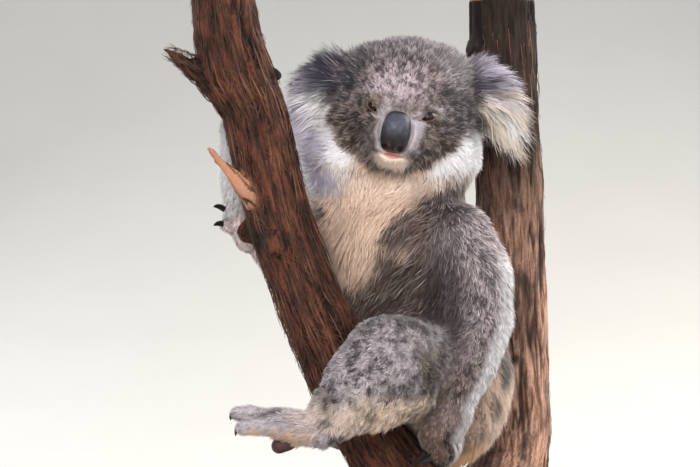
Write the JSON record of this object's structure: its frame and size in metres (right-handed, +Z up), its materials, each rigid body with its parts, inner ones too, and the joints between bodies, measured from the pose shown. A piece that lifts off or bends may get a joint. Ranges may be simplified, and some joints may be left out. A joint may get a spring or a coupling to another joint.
{
  "type": "koala museum model on a forked limb",
  "caption": "Life-size koala sitting in a forked tree limb, one leg over the slanting arm of the fork, the limb held on rods above a round display base.",
  "frame": {"origin": "centre of the underside of the round display base", "axes": "+Z up; -Y the side that the face looks to; +X the animal's left"},
  "size_m": [0.4043, 0.344, 0.6518],
  "materials": {
    "fur": "soft woolly coat, grey above and cream below",
    "nose_leather": "bare, finely pebbled, slightly moist",
    "eye_gloss": "wet, brown iris with a dark pupil",
    "claw_horn": "dark horn",
    "bark": "stringy reddish bark with long cracks",
    "stand_wood": "dark stained, satin",
    "stand_steel": "brushed"
  },
  "bodies": {
    "root": {"claw_foot_left_1": "claw_horn", "claw_foot_left_2": "claw_horn", "claw_foot_left_3": "claw_horn", "claw_foot_right_1": "claw_horn", "claw_foot_right_2": "claw_horn", "claw_foot_right_3": "claw_horn", "claw_hand_left_1": "claw_horn", "claw_hand_left_2": "claw_horn", "claw_hand_left_3": "claw_horn", "claw_hand_left_4": "claw_horn", "claw_hand_left_5": "claw_horn", "claw_hand_right_1": "claw_horn", "claw_hand_right_2": "claw_horn", "claw_hand_right_3": "claw_horn", "claw_hand_right_4": "claw_horn", "claw_hand_right_5": "claw_horn", "ear_left": "fur", "ear_right": "fur", "eye_left": "eye_gloss", "eye_right": "eye_gloss", "foot_left": "fur", "foot_right": "fur", "forearm_left": "fur", "forearm_right": "fur", "hand_left": "fur", "hand_right": "fur", "head": "fur", "neck": "fur", "nose": "nose_leather", "perch": "bark", "rump": "fur", "shin_left": "fur", "shin_right": "fur", "stand_base": "stand_wood", "stand_rod_1": "stand_steel", "stand_rod_2": "stand_steel", "thigh_left": "fur", "thigh_right": "fur", "torso": "fur", "upper_arm_left": "fur", "upper_arm_right": "fur"}
  },
  "joints": []
}
